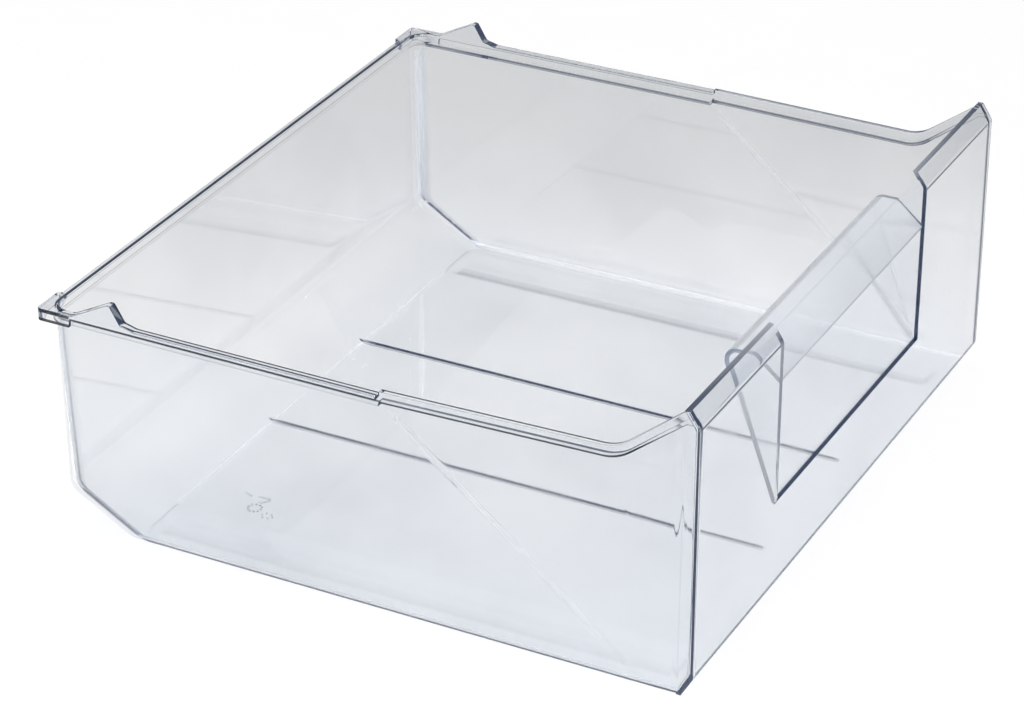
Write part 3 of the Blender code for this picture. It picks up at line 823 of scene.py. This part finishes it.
def highlightAt(x, y, z):
    # painted highlight strength, 0 to 1, for a point in millimetres
    line = highlightLines
    low, high = line["ribHeights"]
    if abs(abs(x) - ribs["at"]) < line["ribReach"] and low < z - floorTop < high:
        return line["rib"]
    near, far = line["pocketDepths"]
    inPocket = abs(x) < handle["half"] + line["pocketSide"] and z > handle["sill"] + line["pocketLow"]
    if inPocket and front + near < y < front + far:
        return line["pocket"]
    if abs(x) < line["sideFrom"] or z > bandLevel or y < front + line["frontGap"]:
        return 0.0
    ends = easeIn((z - line["low"]) / line["fade"]) * easeIn((bandLevel - z) / line["fade"])
    crease = bell(abs(creaseAt(z) - y) * line["creaseLean"], line["creaseHalf"])
    crease *= line["creaseLow"] + (line["creaseHigh"] - line["creaseLow"]) * z / bandLevel
    wall = tub["wall"] / 2
    back = (tub["cornerRadius"] - wall) * (1 - math.sqrt(0.5))
    middle = mainSide(z) - tub["rearTaper"] - wall - back
    corner = bell(math.hypot(abs(x) - middle, y - (rearAt(z, wall) - back)), line["cornerHalf"])
    corner *= max(line["onSlope"], easeIn((z - tub["slopeHigh"]) / line["fade"]))
    across, up = abs(x) - (mainSide(floorTop) - line["filletIn"]), z - floorTop - line["filletUp"]
    return max(ends * crease, ends * corner, bell(math.hypot(across, up), line["filletHalf"]))


# Painted shade: dark lines on the rim's inner top edge, on the band's foot ahead of the crease and on the
# lip's edges behind it
paintedEdgeShade = {
    "below": 2.0, "rear": 0.55, "slack": 0.15, "least": 0.03, "half": 0.075,
    "cornerGap": 3.0, "tabPast": 1.0, "outerBack": 0.7, "barSlack": 0.05, "barTop": 0.3,
    "footFrom": 0.3, "footLow": 0.06, "footHigh": 0.8,
}


def onLipEdge(x, y, z):
    # the lower edge of the lip's outer face; on the corner tabs its upper edge too
    skirted = y > skirtFrom - rim["skirtSlack"]
    outer = sideAt(min(y, rearWall - tub["cornerRadius"]), bandLevel, 0.0) - taperAt(min(y, rearWall))
    if abs(x) - outer - rim["bandStep"] - rim["lipWide"] < -paintedEdgeShade["outerBack"]:
        return False
    lines, drop = rim["skirtLines" if skirted else "lipLines"], rim["top"] - z
    onUpper = skirted and paintedEdgeShade["barTop"] < drop < lines[-1] + paintedEdgeShade["barSlack"]
    return onUpper or drop > lines[0] - paintedEdgeShade["barSlack"]


def onInnerEdge(out, down, reach):
    # out from the rim's inner edge, down from its top
    shade = paintedEdgeShade
    return -shade["slack"] < down < rim["edgeRound"] - shade["least"] and shade["least"] < out < reach


def edgeShadeAt(x, y, z):
    # painted shade strength, 0 to 1, for a point in millimetres
    shade, behind = paintedEdgeShade, y > creaseRim + rim["lipFrom"]
    if z < bandLevel - shade["below"]:
        return 0.0
    if x < 0 and behind and onLipEdge(x, y, z):
        return 1.0
    if x < 0 and y < rearWall - tub["cornerRadius"] - shade["cornerGap"]:
        top, step = baseTop(y), bandAt(y)
        out = abs(x) - sideAt(y, min(top - rim["bandDrop"], panel["top"]), 0.0) + taperAt(y)
        inner = rim["ledgeStep"] * step / rim["bandStep"] - tub["wall"]
        wide = step + (rim["lipWide"] if behind else 0.0) - inner
        if onInnerEdge(out - inner, top + finRise(y) - z, lineEnds(wide)[0] + shade["half"]):
            return 1.0
        up = (z - top + rim["bandDrop"]) / bandRound(step)
        onFoot = not behind and out > shade["footFrom"] * step and shade["footLow"] < up < shade["footHigh"]
        return 1.0 if onFoot else 0.0
    if abs(x) < rim["tabEnd"] + shade["tabPast"]:
        inner = rim["ledgeStep"] * rim["rearShare"] - tub["wall"]
        out = y - rearAt(bandLevel, 0.0) - inner
        if onInnerEdge(out, rim["top"] - z, rim["edgeRound"] - shade["least"]):
            return shade["rear"]
    return 0.0


def paintPoints(shell, name, valueAt):
    layer = shell.data.attributes.new(name, "FLOAT", "POINT")
    for vertex, value in zip(shell.data.vertices, layer.data):
        value.value = valueAt(*(vertex.co / mm))


# Clear plastic
clearLook = {
    "pale": (0.98, 0.983, 0.987, 1.0),
    "smoky": (0.925, 0.93, 0.94, 1.0),
    "cloud": {"scale": 9.0, "detail": 3.0, "low": 0.42, "high": 0.72},
    "haze": {"scale": 40.0, "detail": 1.0, "low": 0.35, "high": 0.75},
    "roughLow": 0.015,
    "roughHigh": 0.05,
    "ior": 1.59,
    "depthTint": (0.20, 0.42, 0.68, 1.0),
    "depthDensity": 14.0,
    "waves": {"scale": 26.0, "detail": 2.0, "height": 0.00002},
    "shadowTint": (0.90, 0.92, 0.95, 1.0),
    # painted shade: the dark navy glow that ends deep bounces inside the plastic
    "trappedShade": (0.030, 0.050, 0.105, 1.0),
    "trappedFrom": 2.0,
    "trappedBy": 5.0,
    "innerBounces": 6,
    # painted highlight: how much of the white lines shows, and their colour
    "highlightShare": 0.55,
    "highlightColour": (0.93, 0.94, 0.96, 1.0),
    "liftedShare": 0.5,
    # painted shade: how much of the dark edge lines shows, and their colour
    "edgeShadeShare": 0.9,
    "edgeShadeColour": (0.030, 0.035, 0.048, 1.0),
}


def clearPlastic():
    look = clearLook
    cloud, haze, waves = look["cloud"], look["haze"], look["waves"]
    material = bpy.data.materials.new("clearPlastic")
    kit = NodeKit(material)
    where = kit.place()
    clouded = kit.ramp(kit.noise(where, cloud["scale"], cloud["detail"]), cloud["low"], cloud["high"])
    hazy = kit.ramp(kit.noise(where, haze["scale"], haze["detail"]), haze["low"], haze["high"])
    bump = kit.add("ShaderNodeBump", {}, {"Height": kit.noise(where, waves["scale"], waves["detail"]),
                                          "Distance": waves["height"], "Strength": 1.0})
    shell = kit.add("ShaderNodeBsdfPrincipled", {}, {
        "Base Color": kit.mixColour(clouded, look["pale"], look["smoky"]),
        "Roughness": hazy * (look["roughHigh"] - look["roughLow"]) + look["roughLow"],
        "IOR": look["ior"], "Transmission Weight": 1.0, "Metallic": 0.0, "Normal": bump})
    # painted shade: light that keeps bouncing inside the plastic ends in a dark navy glow, which darkens the
    # edges
    trapped = kit.ramp(kit.lightPath("Glossy Depth"), look["trappedFrom"], look["trappedBy"], "LINEAR")
    deep = kit.add("ShaderNodeEmission", {}, {"Color": look["trappedShade"], "Strength": 1.0})
    inside = kit.mixShader(trapped, shell, deep)
    # painted highlight: a white diffuse and translucent share on the folds and fillets stands in for the
    # light they catch
    paintedHighlight = kit.add("ShaderNodeAttribute", {"attribute_name": "paintedHighlight"}, {}, "Fac") * look["highlightShare"]
    lit = kit.add("ShaderNodeBsdfDiffuse", {}, {"Color": look["highlightColour"]})
    lifted = kit.add("ShaderNodeBsdfTranslucent", {}, {"Color": look["highlightColour"]})
    highlighted = kit.mixShader(paintedHighlight, inside, kit.mixShader(look["liftedShare"], lit, lifted))
    # the painted shade lines show only where they are seen directly
    direct = kit.lightPath("Is Camera Ray") * look["edgeShadeShare"]
    edge = kit.add("ShaderNodeAttribute", {"attribute_name": "paintedEdgeShade"}, {}, "Fac") * direct
    paintedShade = kit.add("ShaderNodeEmission", {}, {"Color": look["edgeShadeColour"], "Strength": 1.0})
    through = kit.add("ShaderNodeBsdfTransparent", {}, {"Color": look["shadowTint"]})
    surface = kit.mixShader(kit.lightPath("Is Shadow Ray"), kit.mixShader(edge, highlighted, paintedShade), through)
    depth = kit.add("ShaderNodeVolumeAbsorption", {}, {"Color": look["depthTint"],
                                                       "Density": look["depthDensity"]})
    kit.add("ShaderNodeOutputMaterial", {}, {"Surface": surface, "Volume": depth})
    return material


print("moulding")
drawer = buildDrawer()
smoothShell(drawer)
drawer.name = "clearDrawer"
paintPoints(drawer, "paintedHighlight", highlightAt)
paintPoints(drawer, "paintedEdgeShade", edgeShadeAt)
print("clear plastic")
drawer.data.materials.clear()
drawer.data.materials.append(clearPlastic())
for polygon in drawer.data.polygons:
    polygon.material_index = 0
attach(drawer, "root")
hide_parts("drawer")


# Studio: floor, world, lamps
studio = {
    "floorHalf": 30.0,
    "floorBelow": 0.0002,
    "floorColour": (0.86, 0.86, 0.86, 1.0),
    "floorSpeckle": (0.88, 0.88, 0.88, 1.0),
    "speckle": {"scale": 14.0, "detail": 4.0, "low": 0.3, "high": 0.7},
    "cameraGlow": 0.82,
    "throughGlow": 0.6,
    "white": (1.0, 1.0, 1.0, 1.0),
    # painted shade: the floor's tones seen through the plastic, near and far
    "nearShade": (0.80, 0.79, 0.785, 1.0),
    "farShade": (0.47, 0.475, 0.48, 1.0),
    "fallWay": (0.89, 0.46, 0.0),
    "nearReach": 0.08,
    "farReach": 0.48,
    "skyLow": (0.58, 0.58, 0.585, 1.0),
    "skyHigh": (0.97, 0.965, 0.965, 1.0),
    "skyHeights": (-0.1, 0.9),
    "skyStrength": 0.64,
}


def floorPaint():
    speckle = studio["speckle"]
    material = bpy.data.materials.new("studioFloor")
    kit = NodeKit(material)
    where = kit.place()
    grain = kit.ramp(kit.noise(where, speckle["scale"], speckle["detail"]), speckle["low"], speckle["high"])
    colour = kit.mixColour(grain, studio["floorColour"], studio["floorSpeckle"])
    matte = kit.add("ShaderNodeBsdfDiffuse", {}, {"Color": colour})
    direct, through = kit.lightPath("Is Camera Ray"), kit.lightPath("Is Transmission Ray")
    # painted shade: seen through the plastic, the floor falls off to grey towards the far side, behind the
    # drawer
    away = kit.add("ShaderNodeVectorMath", {"operation": "DOT_PRODUCT"}, {0: where, 1: studio["fallWay"]},
                   "Value")
    fall = kit.ramp(away, studio["nearReach"], studio["farReach"])
    behind = kit.mixColour(fall, studio["nearShade"], studio["farShade"])
    backdrop = kit.mixColour(through, studio["white"], behind)
    glow = kit.add("ShaderNodeEmission", {}, {"Color": backdrop, "Strength": 1.0})
    seen = direct * studio["cameraGlow"] + through * studio["throughGlow"]
    kit.add("ShaderNodeOutputMaterial", {}, {"Surface": kit.mixShader(seen, matte, glow)})
    return material


def buildFloor():
    half, corners = studio["floorHalf"], ((-1, -1), (1, -1), (1, 1), (-1, 1))
    mesh = bpy.data.meshes.new("studioFloor")
    mesh.from_pydata([(x * half, y * half, -studio["floorBelow"]) for x, y in corners], [], [(0, 1, 2, 3)])
    floor = bpy.data.objects.new("studioFloor", mesh)
    bpy.context.collection.objects.link(floor)
    floor.data.materials.append(floorPaint())


def buildSky():
    world = bpy.data.worlds.new("studioSky")
    bpy.context.scene.world = world
    kit = NodeKit(world)
    facing = kit.add("ShaderNodeTexCoord", {}, {}, "Generated")
    height = kit.add("ShaderNodeSeparateXYZ", {}, {0: facing}, "Z")
    tone = kit.mixColour(kit.ramp(height, *studio["skyHeights"]), studio["skyLow"], studio["skyHigh"])
    light = kit.add("ShaderNodeBackground", {}, {"Color": tone, "Strength": studio["skyStrength"]})
    direct, through = kit.lightPath("Is Camera Ray"), kit.lightPath("Is Transmission Ray")
    # painted shade: seen through the plastic, the sky is the grey of the far floor
    backdrop = kit.mixColour(through, studio["white"], studio["farShade"])
    shown = kit.add("ShaderNodeBackground", {}, {"Color": backdrop, "Strength": 1.0})
    kit.add("ShaderNodeOutputWorld", {}, {"Surface": kit.mixShader(direct + through, light, shown)})


lamps = {
    "keyBox": {"at": (-1.5, -1.3, 2.1), "size": (1.0, 1.0), "power": 42.0},
    "topBox": {"at": (0.1, 0.5, 2.2), "size": (1.6, 1.6), "power": 16.0},
    "leftBox": {"at": (-2.0, 0.9, 1.1), "size": (0.8, 1.4), "power": 8.0},
}
lampAim = (0.0, 0.0, 0.08)


def buildLamps():
    for name, lamp in lamps.items():
        light = bpy.data.lights.new(name, "AREA")
        light.shape = "RECTANGLE"
        light.size, light.size_y = lamp["size"]
        light.energy = lamp["power"]
        holder = bpy.data.objects.new(name, light)
        holder.location = lamp["at"]
        aim = Vector(lampAim) - holder.location
        holder.rotation_euler = aim.to_track_quat("-Z", "Y").to_euler()
        holder.visible_camera = False
        holder.visible_transmission = False
        bpy.context.collection.objects.link(holder)


cameraView = {
    "at": (-1.60799, -0.80307, 1.04132),
    "azimuth": -62.778,
    "elevation": 28.852,
    "roll": 0.055,
    "sensor": 36.0,
    "lens": 127.19,
    "shift": (0.01487, 0.00294),
    "farthest": 100.0,
}


def buildCamera():
    turn = math.radians(cameraView["azimuth"])
    tilt = math.radians(cameraView["elevation"])
    ahead = Vector((-math.sin(turn) * math.cos(tilt), math.cos(turn) * math.cos(tilt), -math.sin(tilt)))
    camera = bpy.data.cameras.new("studioCamera")
    camera.sensor_width = cameraView["sensor"]
    camera.lens = cameraView["lens"]
    camera.shift_x, camera.shift_y = cameraView["shift"]
    camera.clip_end = cameraView["farthest"]
    holder = bpy.data.objects.new("studioCamera", camera)
    aim = ahead.to_track_quat("-Z", "Y").to_matrix().to_4x4()
    roll = Matrix.Rotation(math.radians(cameraView["roll"]), 4, "Z")
    holder.matrix_world = Matrix.Translation(cameraView["at"]) @ aim @ roll
    bpy.context.collection.objects.link(holder)
    bpy.context.scene.camera = holder


print("studio")
buildFloor()
buildSky()
buildLamps()
buildCamera()
bpy.context.scene.view_settings.view_transform = "Standard"
bpy.context.scene.cycles.glossy_bounces = clearLook["innerBounces"]
